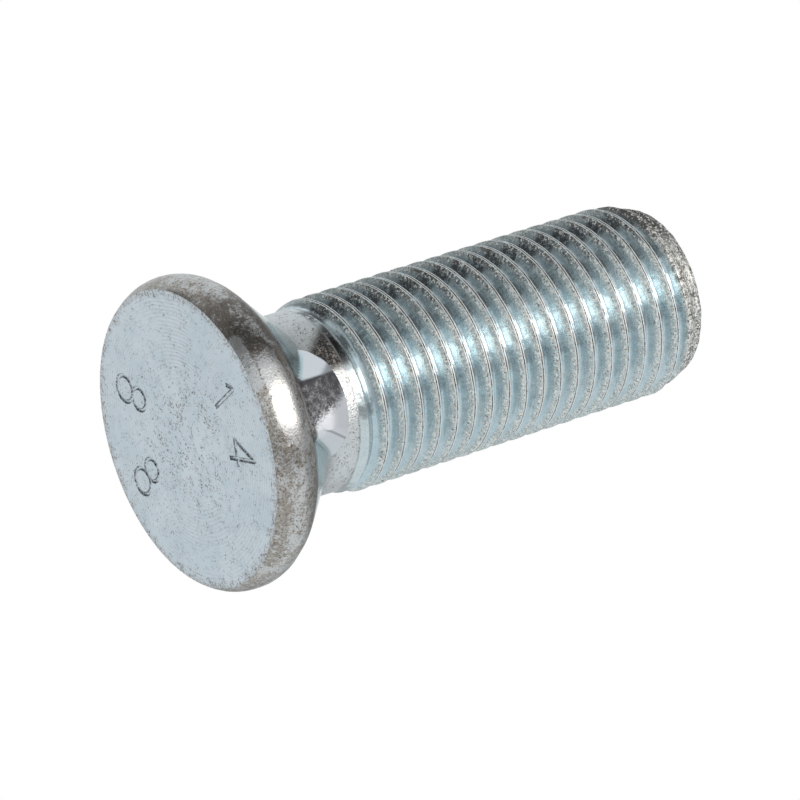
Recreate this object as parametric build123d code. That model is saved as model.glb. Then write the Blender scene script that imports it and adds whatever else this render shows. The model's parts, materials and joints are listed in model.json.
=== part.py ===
"""Flat countersunk screw with a fine thread and two round-nosed nibs under its head.

Millimetres, +Z along the shank from the head's face to the tip, origin at the centre of the face.
The screw stands on its head. The thread itself is cut later, so its length is turned to the full
thread diameter here.
"""
import os
from math import cos, radians, sqrt, tan

from build123d import *

# driving sizes
thread_d = 14.0            # over the crests of the thread
thread_pitch = 1.5         # fine series
length = 40.3              # from the face to the tip, the head included
head_d = 22.3              # at the widest of the rounded rim
rim_h = 3.3                # height of the rim before the seat begins
rim_bulge = 0.6            # how far the rounded rim stands out past the flat face, all round
seat_angle = 90.0          # included angle of the countersunk seat
neck_fillet = 2.0          # between the seat and the shank
collar_l = 2.6             # plain shank between the seat and the first thread
tip_inset = 1.0            # how far the tip's taper ends inside the thread's crests
tip_l = 2.7                # length of the tip's taper
nib_nose = 3.55            # radius of a nib's round nose, at the nib's end
nib_out = 2.8              # how far the nose stands out from the shank, at the nib's end
nib_lean = 33.0            # slope of the nose towards the head, from straight along the shank
nib_flank = 63.0           # turn of each flank's outward side from the nib's own direction
nib_flat = 1.5             # width of each flank at the nib's end
nib_draft = 5.7            # slope of the flanks, from straight along the shank
nib_step = 0.1             # how far a nib runs past the seat, along the shank
nib_edge = 0.25            # rounding between the nose and the nib's end

# sizes that follow
shank_r = (thread_d - 0.6495 * thread_pitch) / 2      # the blank is as thick as the pitch diameter
face_r = head_d / 2 - rim_bulge
seat_h = (face_r - shank_r) / tan(radians(seat_angle / 2))
seat_end = rim_h + seat_h
thread_start = seat_end + collar_l
nib_l = seat_end + nib_step - rim_h


def turned_body():
    """The head, plain collar, threaded length and tip, as one profile turned about the axis."""
    thread_r = thread_d / 2
    lead_in = thread_r - shank_r
    with BuildSketch(Plane.XZ) as profile:
        with BuildLine():
            Line((0, 0), (face_r, 0))
            ThreePointArc((face_r, 0), (head_d / 2, rim_h / 2), (face_r, rim_h))
            Polyline(
                (face_r, rim_h),
                (shank_r, seat_end),
                (shank_r, thread_start),
                (thread_r, thread_start + lead_in),
                (thread_r, length - tip_l),
                (thread_r - tip_inset, length),
                (0, length),
                (0, 0),
            )
        make_face()
    body = revolve(profile.sketch, Axis.Z)
    neck = body.edges().filter_by(GeomType.CIRCLE).filter_by(
        lambda edge: abs(edge.center().Z - seat_end) < 0.01)
    return fillet(neck, neck_fillet)


def nib():
    """One forged nib on the +X side: a round nose between two flanks, no wider than the face."""
    middle = shank_r + nib_out - nib_nose
    nose = Pos(middle, 0, rim_h) * Cone(
        nib_nose + nib_l * tan(radians(nib_lean)), nib_nose, nib_l,
        align=(Align.CENTER, Align.CENTER, Align.MIN))
    nose = fillet(nose.edges().sort_by(Axis.Z)[-1], nib_edge)
    limit = Pos(0, 0, rim_h) * Cylinder(face_r, nib_l, align=(Align.CENTER, Align.CENTER, Align.MIN))
    # the flanks meet ahead of the nose, at the point of a triangle that leans in as it rises
    across = sqrt(nib_nose ** 2 - nib_flat ** 2 / 4) + nib_l * tan(radians(nib_draft))
    point = middle + across / cos(radians(nib_flank))
    half_root = point / tan(radians(nib_flank))
    section = Polyline((point, 0), (0, half_root), (0, -half_root), close=True)
    flanks = extrude(Plane.XY.offset(rim_h) * make_face(section), nib_l, taper=nib_draft)
    return nose & limit & flanks


def screw():
    """The whole screw: the turned body with a nib on each side of the neck."""
    first = nib()
    second = first.rotate(Axis.Z, 180)
    return turned_body() + first + second


os.makedirs("parts", exist_ok=True)
export_step(screw(), "parts/screw.step")
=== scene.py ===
import math
import bmesh
import bpy
from mathutils import Matrix, Vector, noise
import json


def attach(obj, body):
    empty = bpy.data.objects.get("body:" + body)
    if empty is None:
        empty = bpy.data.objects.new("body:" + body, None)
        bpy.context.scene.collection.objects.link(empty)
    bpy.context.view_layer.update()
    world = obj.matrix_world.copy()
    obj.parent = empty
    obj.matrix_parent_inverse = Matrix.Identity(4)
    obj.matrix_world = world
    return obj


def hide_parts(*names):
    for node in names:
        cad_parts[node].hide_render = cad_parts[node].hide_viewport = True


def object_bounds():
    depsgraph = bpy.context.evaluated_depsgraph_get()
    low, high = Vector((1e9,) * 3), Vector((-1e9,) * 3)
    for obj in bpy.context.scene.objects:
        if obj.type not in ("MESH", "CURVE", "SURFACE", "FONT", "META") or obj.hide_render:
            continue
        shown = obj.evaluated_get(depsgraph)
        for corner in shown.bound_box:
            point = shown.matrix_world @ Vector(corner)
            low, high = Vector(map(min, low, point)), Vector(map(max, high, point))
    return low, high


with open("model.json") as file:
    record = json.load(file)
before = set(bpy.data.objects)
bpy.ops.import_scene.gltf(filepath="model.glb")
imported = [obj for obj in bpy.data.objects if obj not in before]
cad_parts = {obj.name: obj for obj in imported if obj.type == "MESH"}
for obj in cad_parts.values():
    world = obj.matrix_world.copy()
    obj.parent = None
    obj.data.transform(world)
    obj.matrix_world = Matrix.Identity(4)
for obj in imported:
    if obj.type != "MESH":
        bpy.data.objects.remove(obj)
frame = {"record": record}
cadLow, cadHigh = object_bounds()
mm = 0.001
threadMount = next(mount for mount in frame["record"]["mounts"] if mount["name"] == "thread")
print("frame loaded, screw is", [round(side / mm, 1) for side in cadHigh - cadLow], "mm")


class Wire:
    # an output socket that can be used in sums
    def __init__(self, socket):
        self.socket = socket
        self.tree = socket.id_data

    def sum(self, operation, first, second=0.0):
        return addNode(self.tree, "ShaderNodeMath", {"operation": operation}, {0: first, 1: second})

    def __add__(self, other):
        return self.sum("ADD", self, other)

    def __radd__(self, other):
        return self.sum("ADD", other, self)

    def __sub__(self, other):
        return self.sum("SUBTRACT", self, other)

    def __rsub__(self, other):
        return self.sum("SUBTRACT", other, self)

    def __mul__(self, other):
        return self.sum("MULTIPLY", self, other)

    def __rmul__(self, other):
        return self.sum("MULTIPLY", other, self)

    def __pow__(self, other):
        return self.sum("POWER", self, other)

    def least(self, other):
        return self.sum("MINIMUM", self, other)

    def most(self, other):
        return self.sum("MAXIMUM", self, other)

    def away(self):
        return self.sum("ABSOLUTE", self)

    def fraction(self):
        return self.sum("FRACT", self)

    def sine(self):
        return self.sum("SINE", self)

    def sign(self):
        return self.sum("SIGN", self)

    def rise(self, low, high):
        # 0 up to low, 1 from high on, smooth between; low above high makes it a fall
        ends = {0: self, 1: min(low, high), 2: max(low, high)}
        ends[3], ends[4] = (0.0, 1.0) if low < high else (1.0, 0.0)
        return addNode(self.tree, "ShaderNodeMapRange", {"interpolation_type": "SMOOTHSTEP"}, ends)


def addNode(tree, kind, settings, sockets, output=0):
    node = tree.nodes.new(kind)
    for name, value in settings.items():
        setattr(node, name, value)
    for name, value in sockets.items():
        if isinstance(value, Wire):
            tree.links.new(value.socket, node.inputs[name])
        else:
            node.inputs[name].default_value = value
    return Wire(node.outputs[output]) if len(node.outputs) else None


class Finish:
    # a material with the builders that every finish on the screw uses, in millimetres
    def __init__(self, name):
        self.material = bpy.data.materials.new(name)
        self.material.use_nodes = True
        self.tree = self.material.node_tree
        self.tree.nodes.clear()
        metres = self.node("ShaderNodeTexCoord", {}, {}, "Object")
        self.place = self.node("ShaderNodeVectorMath", {"operation": "SCALE"}, {0: metres, "Scale": 1 / mm})
        split = {0: self.place}
        self.x, self.y, self.z = (self.node("ShaderNodeSeparateXYZ", {}, split, axis) for axis in "XYZ")
        self.radius = (self.x * self.x + self.y * self.y) ** 0.5
        self.angle = self.x.sum("ARCTAN2", self.y, self.x)

    def node(self, kind, settings, sockets, output=0):
        return addNode(self.tree, kind, settings, sockets, output)

    def grain(self, lump, seed, detail=3.0, rough=0.55):
        # noise from 0 to 1, with lumps of about that size
        ends = {"Vector": self.place, "W": seed, "Scale": 1 / lump, "Detail": detail, "Roughness": rough}
        return self.node("ShaderNodeTexNoise", {"noise_dimensions": "4D"}, ends)

    def blend(self, amount, first, second):
        ends = {0: amount}
        for socket, colour in ((6, first), (7, second)):
            ends[socket] = colour if isinstance(colour, Wire) else (*colour, 1.0)
        return self.node("ShaderNodeMix", {"data_type": "RGBA"}, ends, 2)

    def bump(self, height, depth, under=None):
        ends = {"Height": height, "Distance": depth * mm, "Strength": 1.0}
        if under:
            ends["Normal"] = under
        return self.node("ShaderNodeBump", {}, ends)

    def shade(self, sockets):
        surface = self.node("ShaderNodeBsdfPrincipled", {}, sockets)
        self.node("ShaderNodeOutputMaterial", {}, {"Surface": surface})
        return self.material


# sizes in millimetres; the frame gives the overall ones
screw = {
    "length": cadHigh.z / mm,
    "headRadius": cadHigh.x / mm,
    "threadRadius": threadMount["dims"]["r_mm"],
    "faceRadius": 10.55,
    "rimHeight": 3.3,
    "seatAngle": 45,
    "shankRadius": 6.513,
    "neckFillet": 2.0,
    "pitch": 1.5,
    "crestHalf": 0.085,      # half the crest's width and the rounding of the root, as shares of the pitch
    "rootRound": 0.12,
    "threadFrom": 9.9,       # where the thread fades in, and where it is full
    "threadFull": 11.7,
    "firstCrest": 11.74,
    "crestFall": 0.012,      # how far the crest falls away to its sides
    "crestSeam": 0.06,       # depth of the line that rolling leaves along the crest
    "seamHalf": 0.018,       # its half width as a share of the pitch
    "seamLump": 0.6,         # length of its deeper and shallower stretches
    "tipFrom": 37.5,
    "tipRadius": 6.05,
    "tipSwell": 0.03,        # how far the tip's outline stands off the thread where it starts
    "tipCurve": 1.25,
    "tipEdge": ((0.05, 0.12), (0.14, 0.23), (0.28, 0.31), (0.5, 0.35)),  # inward and up, round the tip's edge
    "columns": 224,
    "rimSteps": 14,
    "seatSteps": 32,
    "nibSteps": 5,
    "collarSteps": 10,
}
nib = {
    "end": 7.437,
    "middle": 5.763,         # middle of the round nose, from the axis
    "nose": 3.55,            # its radius at the end, and how fast that grows towards the head
    "noseSlope": 0.649,
    "flank": 63,             # degrees that a flank's outward side is turned from the nib's own
    "flankReach": 6.086,
    "draft": 0.0998,
    "corner": 0.1,
    "edge": 0.25,
    "overFace": 0.3,         # how softly the nose stops at the face's radius
    "weld": 0.06,            # how softly the nib leaves the seat
}
# depth, lump size and seed of each unevenness
waves = {
    "forged": ((0.05, 3.1, 4), (0.02, 0.9, 9)),
    "rolled": ((0.018, 0.55, 2), (0.02, 2.5, 6)),
    "crushed": ((0.06, 0.8, 12),),
}
# one turn of the thread from crest to crest, as shares of the pitch
threadRows = (0, 0.022, 0.06, 0.085, 0.2, 0.32, 0.41, 0.47, 0.53, 0.59, 0.68, 0.8, 0.915, 0.94, 0.978)


def lump(x, y, z, size, seed):
    return noise.noise(Vector((x / size + seed, y / size - seed, z / size)))


def uneven(kind, x, y, z):
    return sum(depth * lump(x, y, z, size, seed) for depth, size, seed in waves[kind])


def ramp(value, start, end):
    return min(max((value - start) / (end - start), 0), 1)


def softLeast(first, second, reach):
    share = max(reach - abs(first - second), 0) / reach
    return min(first, second) - share * share * reach / 4


def softMost(first, second, reach):
    return -softLeast(-first, -second, reach)


def turnedRadius(z):
    # rim, seat, fillet and plain shank
    s = screw
    half = s["rimHeight"] / 2
    bulge = s["headRadius"] - s["faceRadius"]
    if z < s["rimHeight"]:
        rimArc = (half * half + bulge * bulge) / (2 * bulge)
        return s["headRadius"] - rimArc + math.sqrt(rimArc ** 2 - (z - half) ** 2)
    slope = math.tan(math.radians(s["seatAngle"]))
    seatEnd = s["rimHeight"] + (s["faceRadius"] - s["shankRadius"]) / slope
    filletEnd = seatEnd + s["neckFillet"] * math.tan(math.radians(s["seatAngle"] / 2))
    filletStart = filletEnd - s["neckFillet"] * math.sin(math.radians(s["seatAngle"]))
    if z < filletStart:
        return s["faceRadius"] - (z - s["rimHeight"]) * slope
    if z < filletEnd:
        return s["shankRadius"] + s["neckFillet"] - math.sqrt(s["neckFillet"] ** 2 - (filletEnd - z) ** 2)
    return s["shankRadius"]


def nibRadius(z, phi):
    # how far out a nib reaches in this direction; the second nib is opposite the first
    s, n = screw, nib
    drop = n["end"] - z
    if drop < 0 or z < s["rimHeight"]:
        return 0
    turn = abs((phi + math.pi / 2) % math.pi - math.pi / 2)
    nose = n["nose"] + n["noseSlope"] * drop
    across = n["middle"] * math.sin(turn)
    if across >= nose:
        return 0
    forward = n["middle"] * math.cos(turn) + math.sqrt(nose ** 2 - across ** 2)
    flank = (n["flankReach"] + n["draft"] * drop) / math.cos(turn - math.radians(n["flank"]))
    reach = softLeast(softLeast(forward, s["faceRadius"], n["overFace"]), flank, n["corner"])
    over = max(n["edge"] - drop, 0)
    return reach - n["edge"] + math.sqrt(n["edge"] ** 2 - over ** 2)


def flankRise(fromRoot):
    # height over the root of a 60 degree thread, for a share of the pitch from the root's middle
    rounding = screw["rootRound"]
    return screw["pitch"] * math.sqrt(3) * (math.hypot(fromRoot, rounding) - rounding)


threadDepth = flankRise(0.5 - screw["crestHalf"])


def threadedRadius(z, phi):
    s = screw
    turns = (z - s["firstCrest"]) / s["pitch"] - phi / math.tau
    off = abs(turns - round(turns))
    drop = max(threadDepth - flankRise(0.5 - off), s["crestFall"] * off / s["crestHalf"])
    x, y = s["threadRadius"] * math.cos(phi), s["threadRadius"] * math.sin(phi)
    patchy = 1 + 1.5 * lump(x, y, z, s["seamLump"], 3)
    drop += max(patchy, 0) * s["crestSeam"] * math.exp(-(off / s["seamHalf"]) ** 2)
    full = ramp(z, s["threadFrom"], s["threadFull"])
    full = full * full * (3 - 2 * full)
    cut = s["threadRadius"] - drop
    return s["shankRadius"] + (cut - s["shankRadius"]) * full


def tipRadius(z):
    s = screw
    share = max(z - s["tipFrom"], 0) / (s["length"] - s["tipFrom"])
    return s["threadRadius"] + s["tipSwell"] - (s["threadRadius"] - s["tipRadius"]) * share ** s["tipCurve"]


def outerRadius(z, phi):
    s = screw
    onThread = z >= s["threadFrom"]
    if onThread:
        radius = softLeast(threadedRadius(z, phi), tipRadius(z), 0.1)
    else:
        radius = softMost(turnedRadius(z), nibRadius(z, phi), nib["weld"])
    spot = (radius * math.cos(phi), radius * math.sin(phi), z)
    if onThread:
        crushed = ramp(z, s["tipFrom"], s["tipFrom"] + 1)
        return radius + uneven("rolled", *spot) + crushed * uneven("crushed", *spot)
    return radius + ramp(z, 0, 0.5) * uneven("forged", *spot)


def rowsAt(phi):
    # heights of the rows up one line of the shank, the same number for every direction
    s = screw
    rimTop, edgeFrom, bottom = s["rimHeight"], nib["end"] - nib["edge"], s["threadFrom"]
    rimTurn, edgeTurn = math.pi / s["rimSteps"], math.pi / 2 / s["nibSteps"]
    rows = [rimTop * 0.5 * (1 - math.cos(rimTurn * i)) for i in range(s["rimSteps"] + 1)]
    rows += [rimTop + (edgeFrom - rimTop) * i / s["seatSteps"] for i in range(1, s["seatSteps"] + 1)]
    rows += [nib["end"] - nib["edge"] * (1 - math.sin(edgeTurn * i)) for i in range(1, s["nibSteps"] + 1)]
    collar = bottom - nib["end"]
    rows += [nib["end"] + 0.004 + collar * i / s["collarSteps"] for i in range(s["collarSteps"])]
    top = s["length"] - s["tipEdge"][-1][1]
    turnsBelow = math.ceil((s["firstCrest"] - bottom) / s["pitch"]) + 1
    turnsAbove = math.ceil((top - s["firstCrest"]) / s["pitch"]) + 1
    for turn in range(-turnsBelow, turnsAbove):
        for share in threadRows:
            z = s["firstCrest"] + (turn + share + phi / math.tau) * s["pitch"]
            rows.append(min(max(z, bottom), top))
    return rows


def buildShank(bm):
    # the turned and rolled surface from the rim of the face to the middle of the tip
    s = screw
    columns = []
    for j in range(s["columns"] + 1):
        phi = math.tau * j / s["columns"]
        points = [(outerRadius(z, phi % math.tau if j < s["columns"] else 0), z) for z in rowsAt(phi)]
        edge, top = points[-1]
        points += [(edge - inward, top + up) for inward, up in s["tipEdge"]]
        endRadius, endHeight = points[-1]
        points += [(endRadius * share, endHeight) for share in (0.85, 0.6, 0.3, 0)]
        ring = [bm.verts.new((r * math.cos(phi) * mm, r * math.sin(phi) * mm, z * mm)) for r, z in points]
        columns.append(ring)
    for left, right in zip(columns, columns[1:]):
        for i in range(len(left) - 1):
            bm.faces.new((left[i], right[i], right[i + 1], left[i + 1]))


# plain numerals stamped in the face, seen from outside: x to the right, y up, turned about their middles
stamps = {
    "marks": (("8", (-5.48, 3.87), -122, 4.0), ("8", (-6.52, -1.91), -69, 4.0),
              ("1", (6.3, 2.22), -72, 3.5), ("4", (6.41, -1.64), -102, 3.5)),
    "strokeRadius": 0.18,
    "raised": 0.04,          # height of the strokes' middles over the face
    "slab": 0.8,
    "furthest": 10,          # no mark reaches further out or deeper than this
    "deepest": 0.5,
}


def arcPoints(x, y, radius, count=40):
    return [(x + radius * math.cos(math.tau * i / count), y + radius * math.sin(math.tau * i / count))
            for i in range(count)]


def evenly(corners, step=0.05):
    points = [corners[0]]
    for start, end in zip(corners, corners[1:]):
        count = math.ceil(math.dist(start, end) / step)
        points += [tuple(Vector(start).lerp(Vector(end), i / count)) for i in range(1, count + 1)]
    return points


def numeralStrokes(digit):
    # lines of one numeral, one unit high about its middle; True for a closed loop
    if digit == "8":
        return [(arcPoints(0, -0.21, 0.235), True), (arcPoints(0, 0.225, 0.2), True)]
    if digit == "1":
        return [(evenly([(0.0, -0.44), (0.0, 0.44), (-0.18, 0.24)]), False)]
    return [(evenly([(0.14, -0.44), (0.14, 0.44), (-0.26, -0.18), (0.3, -0.18)]), False)]


def stampCutter():
    curve = bpy.data.curves.new("stampCutter", "CURVE")
    curve.dimensions = "3D"
    curve.bevel_depth = stamps["strokeRadius"]
    curve.bevel_resolution = 3
    curve.use_fill_caps = True
    for digit, middle, turn, height in stamps["marks"]:
        spin = Matrix.Rotation(math.radians(turn), 2)
        for points, closed in numeralStrokes(digit):
            spline = curve.splines.new("POLY")
            spline.points.add(len(points) - 1)
            spline.use_cyclic_u = closed
            for knot, point in zip(spline.points, points):
                u, v = spin @ (Vector(point) * height) + Vector(middle)
                knot.co = (u, -v, -stamps["raised"], 1)
    cutter = bpy.data.objects.new("stampCutter", curve)
    bpy.context.collection.objects.link(cutter)
    mesh = bpy.data.meshes.new_from_object(cutter.evaluated_get(bpy.context.evaluated_depsgraph_get()))
    bpy.data.objects.remove(cutter)
    solid = bpy.data.objects.new("stampSolid", mesh)
    bpy.context.collection.objects.link(solid)
    return solid


def buildFace(bm):
    # the flat face as a thin slab, with the numerals cut out of it
    cutter = stampCutter()
    slab = bmesh.new()
    turns = [math.tau * j / screw["columns"] for j in range(screw["columns"])]
    rim = [(outerRadius(0, phi) * math.cos(phi), outerRadius(0, phi) * math.sin(phi)) for phi in turns]
    lower, upper = ([slab.verts.new((x, y, z)) for x, y in rim] for z in (0, stamps["slab"]))
    slab.faces.new(reversed(lower))
    slab.faces.new(upper)
    for j in range(screw["columns"]):
        k = (j + 1) % screw["columns"]
        slab.faces.new((lower[j], lower[k], upper[k], upper[j]))
    mesh = bpy.data.meshes.new("faceSlab")
    slab.to_mesh(mesh)
    slab.free()
    blank = bpy.data.objects.new("faceSlab", mesh)
    bpy.context.collection.objects.link(blank)
    cut = blank.modifiers.new("stamp", "BOOLEAN")
    cut.object = cutter
    cut.solver = "EXACT"
    cut.use_self = True
    stamped = bpy.data.meshes.new_from_object(blank.evaluated_get(bpy.context.evaluated_depsgraph_get()))
    bpy.data.objects.remove(blank)
    bpy.data.objects.remove(cutter)
    face = bmesh.new()
    face.from_mesh(stamped)
    # the slab's back and edge go, as the rest of the screw stands there
    hidden = [f for f in face.faces if f.calc_center_median().z > stamps["slab"] * 0.9
              or (f.calc_center_median().xy.length > screw["faceRadius"] * 0.99 and abs(f.normal.z) < 0.1)]
    bmesh.ops.delete(face, geom=hidden, context="FACES")
    bmesh.ops.triangulate(face, faces=face.faces[:])
    bmesh.ops.scale(face, vec=(mm, mm, mm), verts=face.verts[:])
    face.to_mesh(stamped)
    face.free()
    bm.from_mesh(stamped)


def buildScrew():
    bm = bmesh.new()
    buildShank(bm)
    buildFace(bm)
    bmesh.ops.remove_doubles(bm, verts=bm.verts[:], dist=1e-7)
    bmesh.ops.dissolve_degenerate(bm, edges=bm.edges[:], dist=1e-8)
    bmesh.ops.recalc_face_normals(bm, faces=bm.faces[:])
    for face in bm.faces:
        spot = face.calc_center_median() / mm
        marked = spot.z < stamps["deepest"] and spot.xy.length < stamps["furthest"]
        onHead = 1 if spot.z < screw["threadFrom"] else 2
        face.material_index = 0 if marked or spot.z < 0.001 else onHead
        face.smooth = True
    mesh = bpy.data.meshes.new("screwBody")
    bm.to_mesh(mesh)
    bm.free()
    mesh.set_sharp_from_angle(angle=math.radians(38))
    piece = bpy.data.objects.new("screwBody", mesh)
    bpy.context.collection.objects.link(piece)
    print("screw built,", len(mesh.polygons), "faces")
    return piece


# colours, with pairs where the surface wanders between two
faceLook = {
    "zinc": ((0.62, 0.69, 0.74), (0.68, 0.73, 0.78)),
    "dust": (0.38, 0.365, 0.34),
    "edgeStain": (0.26, 0.22, 0.19),
    "pit": (0.10, 0.09, 0.08),
    # dark of the painted shade in the stamped grooves
    "stampEdge": (0.05, 0.05, 0.05),
    "ring": (0.42, 0.47, 0.50),
    "ringStep": 0.27,        # from one turned ring to the next
    "ringDepth": 0.0038,
    "metal": 0.85,
}


def faceFinish():
    # satin zinc on the turned face: fine rings, pits, a browner middle, a stained edge and painted shade on
    # the walls of the stamped numerals
    f, look = Finish("faceZinc"), faceLook
    broad = f.grain(3.0, 1.0, 2.0)
    middling = f.grain(0.6, 2.0, 3.0, 0.6)
    fine = f.grain(0.14, 3.0, 3.0, 0.65)
    colour = f.blend(broad.rise(0.35, 0.65), *look["zinc"])
    worn = (f.radius + (broad - 0.5) * 9).rise(7.5, 1.5)
    dust = (fine * 0.6 + middling * 0.4).rise(0.50, 0.62)
    colour = f.blend(dust * (0.15 + worn * 0.45), colour, look["dust"])
    border = (f.radius + (middling - 0.5) * 1.6).rise(9.8, 10.5)
    colour = f.blend(border * fine.rise(0.42, 0.58) * 0.75, colour, look["edgeStain"])
    pits = (fine + worn * 0.03).rise(0.61, 0.66) * middling.rise(0.42, 0.54)
    colour = f.blend(pits * 0.85, colour, look["pit"])
    # painted shade down the walls of the stamped numerals' grooves
    edges = f.z.rise(0.004, 0.03) * f.z.rise(0.14, 0.08)
    colour = f.blend(edges * fine.rise(0.40, 0.54) * 0.85, colour, look["stampEdge"])
    wander = f.grain(3.0, 8.0, 1.0)
    rings = (f.radius * (math.tau / look["ringStep"]) + wander * 6).sine()
    ringsShow = f.radius.rise(2.5, 6.0) * f.grain(3.5, 4.0, 2.0).rise(0.38, 0.56)
    colour = f.blend(rings.rise(0.2, 0.9) * ringsShow * 0.28, colour, look["ring"])
    normal = f.bump(rings * ringsShow, look["ringDepth"])
    normal = f.bump(fine, 0.012, normal)
    normal = f.bump(1 - pits, 0.05, normal)
    rough = 0.32 + (middling - 0.5) * 0.3
    return f.shade({"Base Color": colour, "Metallic": look["metal"], "Roughness": rough, "Normal": normal})


def collarDarkReflection(f, dust):
    # painted dark reflection, speckled, beside the first nib, up to where the thread starts
    beside = f.angle.rise(-0.22, -0.36) * (f.angle + (f.z - 10) * 0.131).rise(-0.92, -0.76)
    return beside * f.z.rise(7.5, 7.7) * f.z.rise(10.5, 10.2) * dust.rise(0.32, 0.44)


headLook = {
    "neck": (0.46, 0.60, 0.64),
    "collar": (0.70, 0.725, 0.74),
    "nib": (0.68, 0.71, 0.76),
    "rimPale": (0.60, 0.605, 0.61),
    "rimBrown": ((0.37, 0.335, 0.30), (0.13, 0.11, 0.10)),
    "underRim": (0.10, 0.09, 0.085),
    "skin": ((0.04, 0.04, 0.05), (0.28, 0.28, 0.295)),
    "crease": (0.20, 0.21, 0.20),
    # the scale pair colours the painted dark reflection on the collar
    "scale": ((0.02, 0.017, 0.017), (0.36, 0.34, 0.32)),
    "turnedLine": (0.30, 0.33, 0.32),
    "speck": (0.08, 0.07, 0.065),
    "cleanTurn": -0.15,      # where the rim is clean and kept pale under its highlight, partly a painted highlight, in radians round the screw
    "lipTurn": -0.40,        # where the painted highlight on its lip by the face is
    "umberTurn": -0.66,      # and where a painted dark reflection lies on it
}


def headFinish():
    # the forged rim, mottled brown and pale with painted highlights and a painted dark reflection, the
    # smoother zinc of the neck, painted shade under the rim and along the nibs' creases, and painted dark
    # reflections on the nibs and beside them on the collar
    f, look = Finish("headZinc"), headLook
    rim = f.z.rise(3.9, 3.2)
    broad = f.grain(1.8, 11.0, 2.0, 0.6)
    middling = f.grain(0.5, 12.0, 3.0, 0.6)
    fine = f.grain(0.14, 13.0, 3.0, 0.65)
    dust = fine * 0.5 + middling * 0.5
    onNib = (f.radius + f.z - 13.85).rise(0.25, 0.5) * f.z.rise(7.5, 7.4)
    zinc = f.blend(f.z.rise(6.0, 7.2), look["neck"], look["collar"])
    zinc = f.blend(onNib, zinc, look["nib"])
    edge = (f.z - 1.9).away().rise(0.4, 1.5)
    # the rim is kept pale under its softbox highlight, partly a painted highlight, and pale on its lip by the
    # face, a painted highlight
    cleanAndHighlight = (f.angle - look["cleanTurn"]).away().rise(0.30, 0.16) * (f.z - 1.6).away().rise(1.0, 0.6)
    lipHighlight = (f.angle - look["lipTurn"]).away().rise(0.24, 0.12) * f.z.rise(0.8, 0.45)
    dirtAndHighlights = broad * 0.2 + middling * 0.36 + fine * 0.44 + edge * 0.05 - cleanAndHighlight.most(lipHighlight) * 0.2
    # painted dark reflection on the rim beside its highlight, in the darker of the rim's browns, which also
    # colours brown specks
    darkRimReflection = (f.angle - look["umberTurn"]).away().rise(0.40, 0.15) * (1 - cleanAndHighlight.most(lipHighlight))
    brownAndReflection = f.blend((darkRimReflection * 0.7).most(fine.rise(0.50, 0.60) * 0.4), *look["rimBrown"])
    stainedAndPaintedLight = f.blend((dirtAndHighlights + darkRimReflection * 0.04).rise(0.45, 0.58), look["rimPale"], brownAndReflection)
    colour = f.blend(rim, zinc, stainedAndPaintedLight)
    # painted shade where the rim meets the seat
    underRim = (f.z - 3.5).away().rise(0.35, 0.15)
    colour = f.blend(underRim * 0.7, colour, look["underRim"])
    across = f.y * f.x.sign()
    wander = (broad - 0.5) * 1.2 + (fine - 0.5) * 2.0
    # painted dark reflection on each nib's outer face, mottled, with rougher, less metallic zinc under it
    skin = across.rise(-2.05, -1.85) * (across + f.z * 0.45 + wander).rise(3.2, 2.4)
    skin = skin * f.z.rise(3.2, 3.5) * f.x.away().rise(8.35, 8.7)
    nibReflectionTone = f.blend((dust + across * 0.03).rise(0.42, 0.62), *look["skin"])
    colour = f.blend(skin * 0.94, colour, nibReflectionTone)
    # painted shade along the crease between each nib's facets
    crease = (across - f.z * 0.37 - 0.06).away().rise(0.09, 0.03) * f.x.away().rise(6.8, 7.2)
    crease = crease * f.z.rise(4.2, 4.6) * f.z.rise(7.4, 7.3)
    colour = f.blend(crease * 0.6, colour, look["crease"])
    collar = f.z.rise(7.0, 7.6)
    # the scale mask paints a dark reflection on the collar and also roughens the zinc there
    scale = collarDarkReflection(f, dust)
    darkReflectionTone = f.blend(fine.rise(0.50, 0.60), *look["scale"])
    colour = f.blend(scale * 0.96, colour, darkReflectionTone)
    turned = (f.z - 9.85).away().rise(0.14, 0.06) * middling.rise(0.36, 0.48)
    colour = f.blend(turned * 0.5, colour, look["turnedLine"])
    specks = (fine + collar * 0.04).rise(0.57, 0.64) * (rim + collar).least(1) * middling.rise(0.42, 0.58)
    colour = f.blend(specks * 0.8, colour, look["speck"])
    normal = f.bump(middling * (1 + collar * 1.5), 0.02)
    normal = f.bump(fine * (0.2 + rim * 0.4 + skin + collar * 2.2 + scale), 0.025, normal)
    petal = onNib * across.rise(-0.6, 0.2)
    metal = 0.92 - skin.most(petal) * 0.35
    rough = 0.18 + rim * 0.08 + skin.most(petal * 0.7) * 0.5 + collar * 0.12 + scale * 0.3
    return f.shade({"Base Color": colour, "Metallic": metal, "Roughness": rough, "Normal": normal})


threadLook = {
    "groove": ((0.48, 0.60, 0.655), (0.57, 0.68, 0.725)),
    "runOut": (0.68, 0.73, 0.74),
    "flank": ((0.42, 0.49, 0.51), (0.80, 0.84, 0.82)),
    "crest": (0.80, 0.80, 0.78),
    "seam": (0.10, 0.09, 0.09),
    # the scale colour paints the dark reflection along the thread and collar
    "scale": (0.06, 0.05, 0.05),
    "tip": ((0.12, 0.115, 0.11), (0.82, 0.84, 0.82)),
    "tipStain": (0.07, 0.06, 0.06),
    "speck": (0.05, 0.045, 0.045),
    "fleck": (0.92, 0.93, 0.90),
    "lowerScale": -1.07,     # middles of the two strips of painted dark reflection, in radians round the screw
    "upperScale": -0.92,
}


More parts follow.
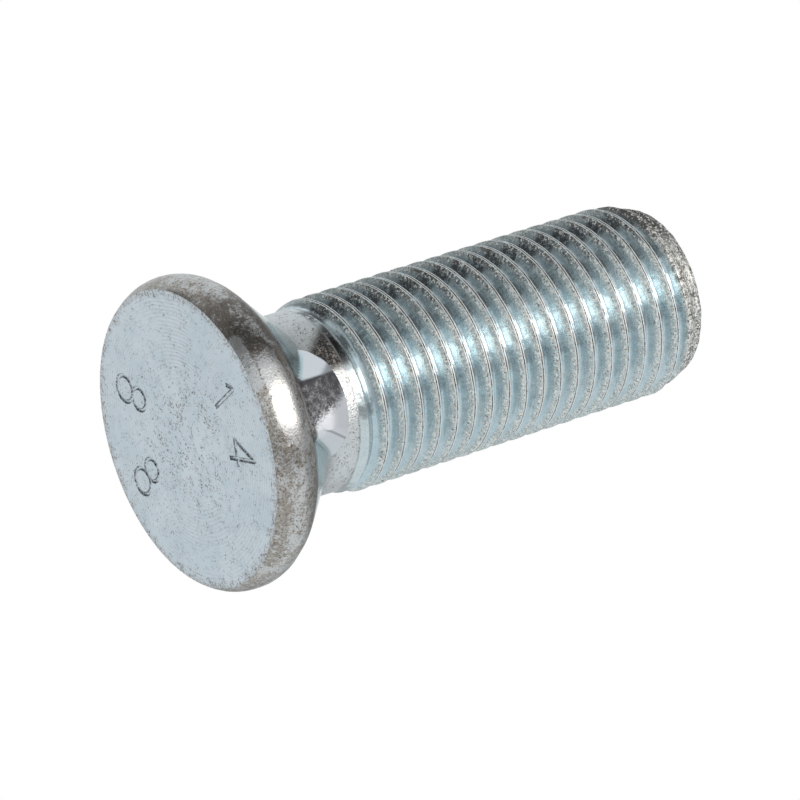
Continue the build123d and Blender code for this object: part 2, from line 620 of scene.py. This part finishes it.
def threadFinish():
    # smooth blue roots, flanks roughened by the rolling, a pale crest and a painted dark reflection along one
    # side
    f, look, s = Finish("threadZinc"), threadLook, screw
    turns = (f.z - s["firstCrest"]) * (1 / s["pitch"]) - f.angle * (1 / math.tau)
    off = ((turns + 0.5).fraction() - 0.5).away()
    full = f.z.rise(10.6, 11.5)
    tip = (f.z - f.angle.sine() * 0.3).rise(38.15, 38.5)
    fine = f.grain(0.14, 21.0, 3.0, 0.65)
    middling = f.grain(0.45, 22.0, 3.0, 0.6)
    broad = f.grain(2.0, 23.0)
    dust = fine * 0.55 + middling * 0.45
    flank = (off + (middling - 0.5) * 0.22).rise(0.28, 0.17) * off.rise(0.06, 0.10)
    rough = (flank * full).most(tip)
    groove = f.blend(broad.rise(0.35, 0.65), *look["groove"])
    side = f.blend(dust.rise(0.43, 0.57), *look["flank"])
    groove = f.blend(f.z.rise(11.6, 10.6) * 0.6, groove, look["runOut"])
    colour = f.blend(rough, groove, side)
    ridge = (off - 0.06).away().rise(0.04, 0.02) * full
    colour = f.blend(ridge * (0.4 + dust.rise(0.42, 0.52) * 0.6), colour, look["crest"])
    seam = (off + (fine - 0.5) * 0.14).rise(0.04, 0.015) * full * middling.rise(0.40, 0.52)
    colour = f.blend(seam * 0.85, colour, look["seam"])
    # painted dark reflection in two strips along the screw's upper side, speckled, joined to the collar's
    lower = (f.angle - look["lowerScale"]).away().rise(0.20, 0.10)
    upper = (f.angle - look["upperScale"] + (middling - 0.5) * 1.2).away().rise(0.40, 0.20)
    scale = (lower * 0.9).most(upper * rough * 0.85) * (1 - ridge) * dust.rise(0.42, 0.50)
    scale = scale.most(collarDarkReflection(f, dust))
    colour = f.blend(scale * 0.9, colour, look["scale"])
    tipTone = f.blend(dust.rise(0.44, 0.54), *look["tip"])
    colour = f.blend(tip, colour, tipTone)
    # painted shade on the upper side of the tip, mottled
    tipShade = tip * f.angle.rise(-0.45, -0.85) * f.angle.rise(-2.1, -1.6) * f.radius.rise(4.6, 5.4)
    tipShade = tipShade * dust.rise(0.36, 0.50)
    colour = f.blend(tipShade * 0.85, colour, look["tipStain"])
    specks = fine.rise(0.54, 0.58) * (rough * 0.8 + 0.15) * middling.rise(0.38, 0.48)
    colour = f.blend(specks * 0.9, colour, look["speck"])
    flecks = f.grain(0.14, 24.0, 2.0, 0.6).rise(0.55, 0.58) * rough
    colour = f.blend(flecks * 0.85, colour, look["fleck"])
    normal = f.bump(middling, 0.022)
    normal = f.bump(fine * rough, 0.035, normal)
    metal = 0.95 - ridge * 0.3 - (rough * 0.32).most(flecks * 0.85)
    gloss = 0.20 + rough * 0.14 + ridge * 0.30 + tip * 0.06
    return f.shade({"Base Color": colour, "Metallic": metal, "Roughness": gloss, "Normal": normal})


screwPiece = buildScrew()
for makeFinish in (faceFinish, headFinish, threadFinish):
    screwPiece.data.materials.append(makeFinish())
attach(screwPiece, "root")
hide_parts("screw")
print("finishes made")


# camera off the head's side, a little below the face, as for a portrait of both head and thread
cameraSet = {
    "place": (355.7, -18.643, -210.02),
    "looks": (-0.84149, 0.04855, 0.5381),
    "up": (0.10919, -0.96012, 0.25737),
    "lens": 273.15,
}


def placeCamera():
    data = bpy.data.cameras.new("camera")
    data.lens = cameraSet["lens"]
    data.sensor_width = 36
    data.clip_start = 0.01
    data.clip_end = 10
    camera = bpy.data.objects.new("camera", data)
    back = -Vector(cameraSet["looks"]).normalized()
    right = Vector(cameraSet["up"]).cross(back).normalized()
    up = back.cross(right)
    turn = Matrix((right, up, back)).transposed().to_4x4()
    camera.matrix_world = Matrix.Translation(Vector(cameraSet["place"]) * mm) @ turn
    bpy.context.collection.objects.link(camera)
    bpy.context.scene.camera = camera
    return -back


ahead = placeCamera()
print("camera placed")

studio = {
    "room": 0.86,
    "flagLevel": 0.07,
    "mainFlag": (-57, 16, 5),  # turn, half width and soft edge in degrees; the side flags' strength too
    "sideFlags": ((-88, 16, 4, 0.4), (27, 8, 3, 0.72)),
    "topFlag": 0.65,
    "rearTowards": (-0.79, 0.29, 0.54),
    "rear": 0.5,             # how much dimmer the room is behind
    "lowFlagTowards": (-0.55, -0.62, -0.56),
    "lowFlag": 0.22,
    "softboxGlow": 3.75,
    "softboxWide": 0.135,
    "softboxTall": 0.42,
    "softboxAway": 0.35,
    "softboxTowards": (0.935, -0.09, 0.342),
    "softboxTint": (1, 0.90, 0.82),
    "roomTint": (0.94, 0.985, 1),
    "floorTone": 0.86,
    "floorRadius": 1.2,
}


def buildWorld():
    # a pale room, dimmer behind, with dark flags: upright beside the softbox, overhead and low down
    world = bpy.data.worlds.new("studio")
    world.use_nodes = True
    tree = world.node_tree
    tree.nodes.clear()
    sight = addNode(tree, "ShaderNodeTexCoord", {}, {}, "Generated")
    x, y, z = (addNode(tree, "ShaderNodeSeparateXYZ", {}, {0: sight}, axis) for axis in "XYZ")
    around = x.sum("ARCTAN2", y, x) * math.degrees(1)

    def facing(direction):
        ends = {0: sight, 1: tuple(Vector(direction).normalized())}
        return addNode(tree, "ShaderNodeVectorMath", {"operation": "DOT_PRODUCT"}, ends, "Value")

    def upright(turn, wide, soft):
        return (around - turn).away().rise(wide + soft, wide - soft)

    flag = z.rise(0.62, 0.85) * studio["topFlag"]
    flag = flag.most(upright(*studio["mainFlag"]) * z.rise(-0.9, -0.7))
    for *spread, strength in studio["sideFlags"]:
        flag = flag.most(upright(*spread) * strength)
    lowFlag = facing(studio["lowFlagTowards"]).rise(0.80, 0.93)
    room = studio["room"] * (1 - facing(studio["rearTowards"]).rise(0.82, 0.97) * studio["rear"])
    level = room * (1 - flag) + flag * studio["flagLevel"]
    level = level * (1 - lowFlag) + lowFlag * studio["lowFlag"]
    # the white backdrop, for the camera and for what the metal mirrors of it
    mirrored = addNode(tree, "ShaderNodeLightPath", {}, {}, "Is Glossy Ray") * facing(ahead).rise(0.965, 0.99)
    seen = addNode(tree, "ShaderNodeLightPath", {}, {}, "Is Camera Ray").most(mirrored)
    level = level * (1 - seen) + seen
    tints = {0: seen, 6: (*studio["roomTint"], 1), 7: (1, 1, 1, 1)}
    tint = addNode(tree, "ShaderNodeMix", {"data_type": "RGBA"}, tints, 2)
    surface = addNode(tree, "ShaderNodeBackground", {}, {"Color": tint, "Strength": level})
    addNode(tree, "ShaderNodeOutputWorld", {}, {"Surface": surface})
    bpy.context.scene.world = world


def addSoftbox():
    data = bpy.data.lights.new("softbox", "AREA")
    data.shape = "RECTANGLE"
    data.size = studio["softboxWide"]
    data.size_y = studio["softboxTall"]
    data.color = studio["softboxTint"]
    data.energy = studio["softboxGlow"] * math.pi * data.size * data.size_y
    lamp = bpy.data.objects.new("softbox", data)
    towards = Vector(studio["softboxTowards"]).normalized()
    middle = Vector((0, 0, cadHigh.z / 2))
    lamp.location = middle + towards * studio["softboxAway"]
    lamp.rotation_euler = towards.to_track_quat("Z", "Y").to_euler()
    bpy.context.collection.objects.link(lamp)


def buildFloor():
    # pale floor under the head; from below it is clear, so that the face is lit and seen through it
    f = Finish("paleFloor")
    seen = f.node("ShaderNodeLightPath", {}, {}, "Is Camera Ray")
    under = f.node("ShaderNodeNewGeometry", {}, {}, "Backfacing")
    pale = f.node("ShaderNodeBsdfDiffuse", {}, {"Color": (*[studio["floorTone"]] * 3, 1)})
    clear = f.node("ShaderNodeBsdfTransparent", {}, {})
    mixed = f.node("ShaderNodeMixShader", {}, {0: seen * (1 - under), 1: clear, 2: pale})
    f.node("ShaderNodeOutputMaterial", {}, {"Surface": mixed})
    bm = bmesh.new()
    bmesh.ops.create_circle(bm, cap_ends=True, radius=studio["floorRadius"], segments=96)
    mesh = bpy.data.meshes.new("floor")
    bm.to_mesh(mesh)
    bm.free()
    mesh.materials.append(f.material)
    floor = bpy.data.objects.new("floor", mesh)
    floor.location.z = cadLow.z - 0.05 * mm
    bpy.context.collection.objects.link(floor)


buildWorld()
addSoftbox()
buildFloor()
bpy.context.scene.view_settings.view_transform = "Standard"
print("studio set")
